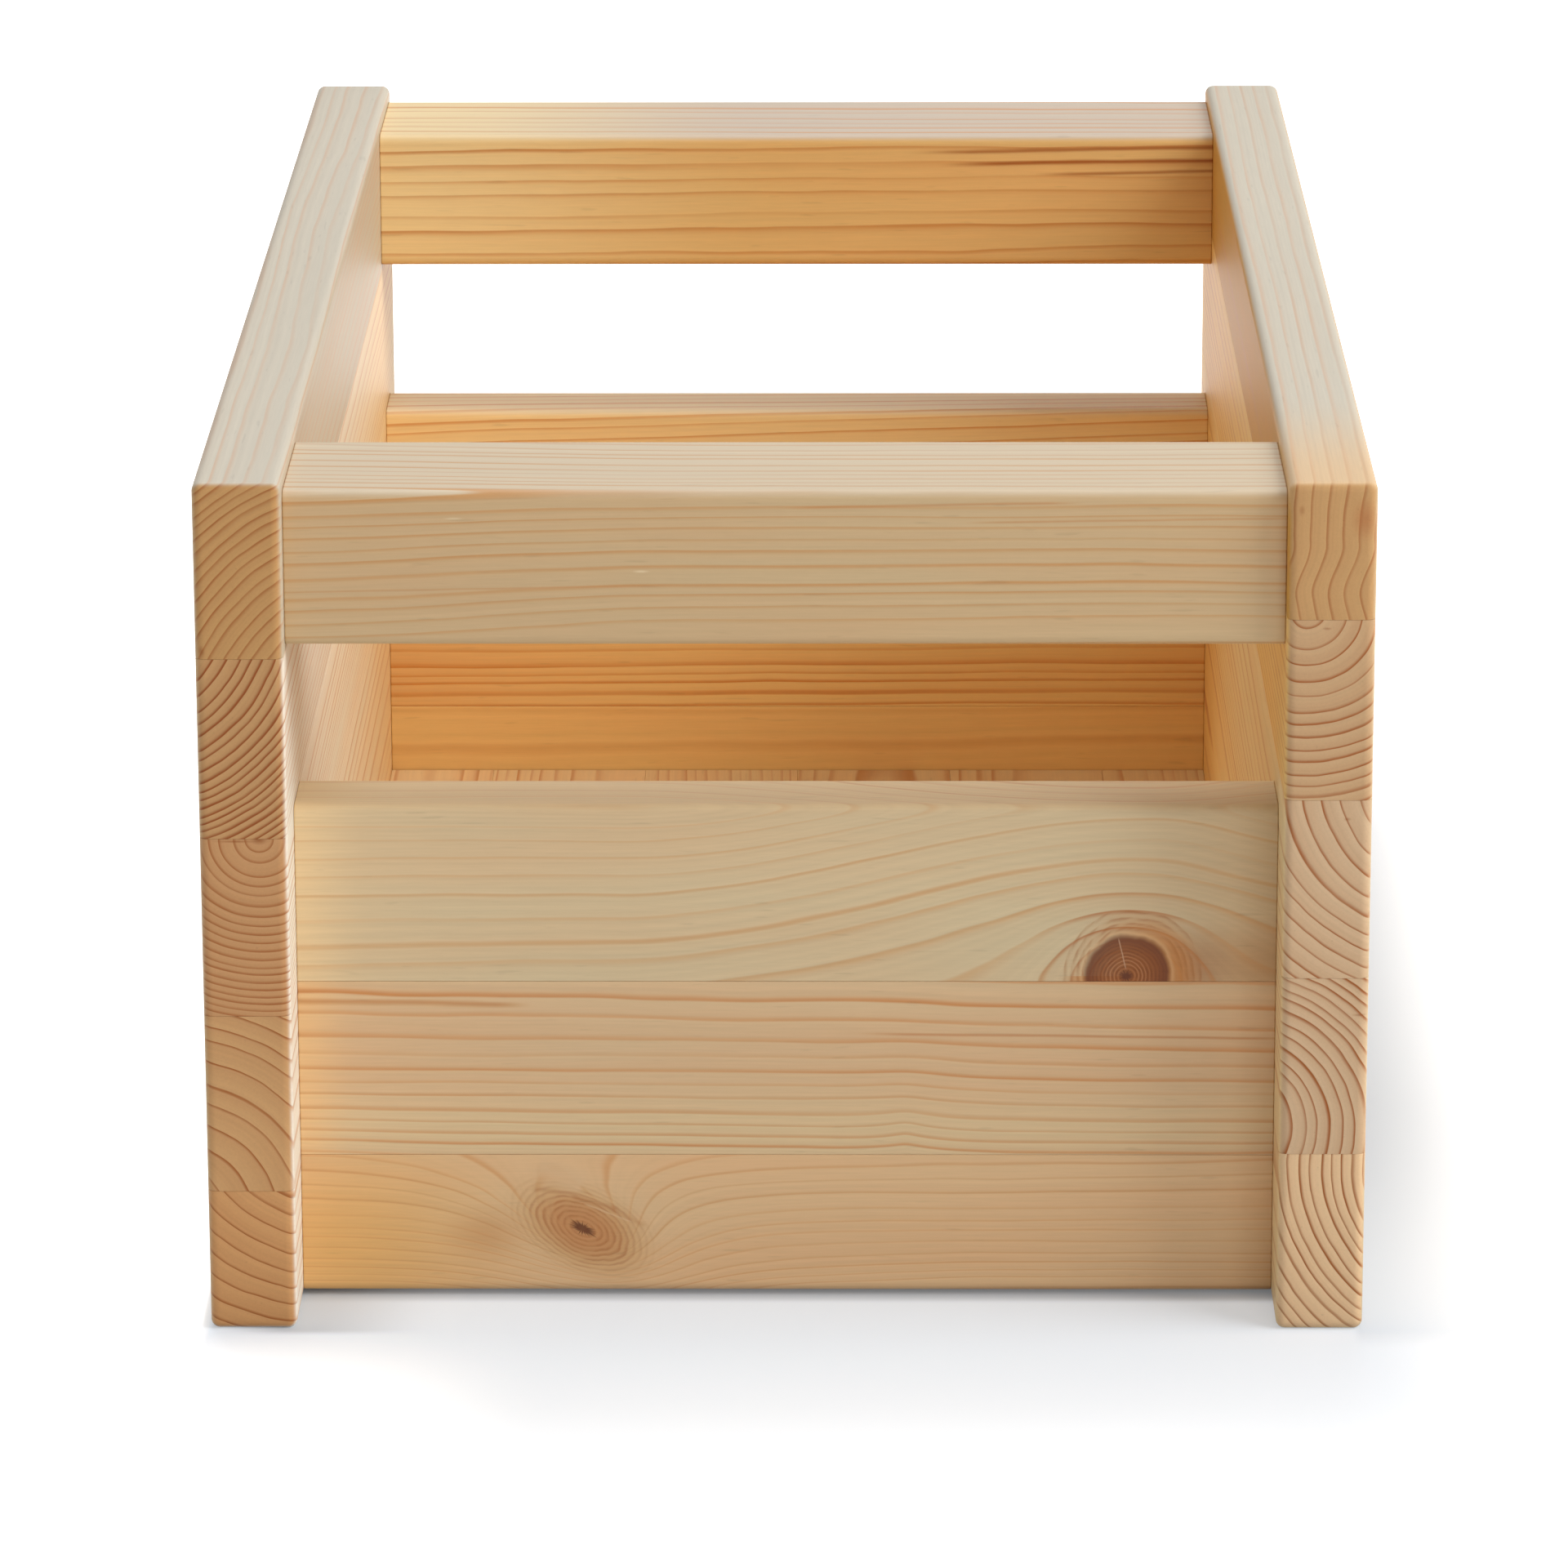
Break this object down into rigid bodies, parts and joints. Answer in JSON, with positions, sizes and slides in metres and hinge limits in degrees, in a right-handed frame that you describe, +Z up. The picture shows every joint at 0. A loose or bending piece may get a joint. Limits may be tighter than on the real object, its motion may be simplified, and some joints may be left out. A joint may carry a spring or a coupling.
{
  "type": "kindling box",
  "caption": "Open pine box for kindling: edge-glued side boards joined by end rails over lower panels with hand gaps between them, and a floor board.",
  "frame": {"origin": "on the ground under the middle of the box", "axes": "+X to the right, +Y from the front end to the back end, +Z up"},
  "size_m": [0.24, 0.4, 0.182],
  "materials": {
    "pine_side": "satin",
    "pine_rail": "satin",
    "pine_panel": "satin",
    "pine_floor": "satin",
    "beech_dowel": "matte"
  },
  "bodies": {
    "root": {"back_panel_left_dowel_1": "beech_dowel", "back_panel_left_dowel_2": "beech_dowel", "back_panel_left_dowel_3": "beech_dowel", "back_panel_right_dowel_1": "beech_dowel", "back_panel_right_dowel_2": "beech_dowel", "back_panel_right_dowel_3": "beech_dowel", "back_panel_stave_1": "pine_panel", "back_panel_stave_2": "pine_panel", "back_panel_stave_3": "pine_panel", "back_rail": "pine_rail", "back_rail_left_dowel_1": "beech_dowel", "back_rail_left_dowel_2": "beech_dowel", "back_rail_right_dowel_1": "beech_dowel", "back_rail_right_dowel_2": "beech_dowel", "floor_left_dowel_1": "beech_dowel", "floor_left_dowel_2": "beech_dowel", "floor_left_dowel_3": "beech_dowel", "floor_right_dowel_1": "beech_dowel", "floor_right_dowel_2": "beech_dowel", "floor_right_dowel_3": "beech_dowel", "floor_stave_1": "pine_floor", "floor_stave_2": "pine_floor", "floor_stave_3": "pine_floor", "floor_stave_4": "pine_floor", "floor_stave_5": "pine_floor", "floor_stave_6": "pine_floor", "front_panel_left_dowel_1": "beech_dowel", "front_panel_left_dowel_2": "beech_dowel", "front_panel_left_dowel_3": "beech_dowel", "front_panel_right_dowel_1": "beech_dowel", "front_panel_right_dowel_2": "beech_dowel", "front_panel_right_dowel_3": "beech_dowel", "front_panel_stave_1": "pine_panel", "front_panel_stave_2": "pine_panel", "front_panel_stave_3": "pine_panel", "front_rail": "pine_rail", "front_rail_left_dowel_1": "beech_dowel", "front_rail_left_dowel_2": "beech_dowel", "front_rail_right_dowel_1": "beech_dowel", "front_rail_right_dowel_2": "beech_dowel", "left_side_stave_1": "pine_side", "left_side_stave_2": "pine_side", "left_side_stave_3": "pine_side", "left_side_stave_4": "pine_side", "left_side_stave_5": "pine_side", "right_side_stave_1": "pine_side", "right_side_stave_2": "pine_side", "right_side_stave_3": "pine_side", "right_side_stave_4": "pine_side", "right_side_stave_5": "pine_side"}
  },
  "joints": []
}
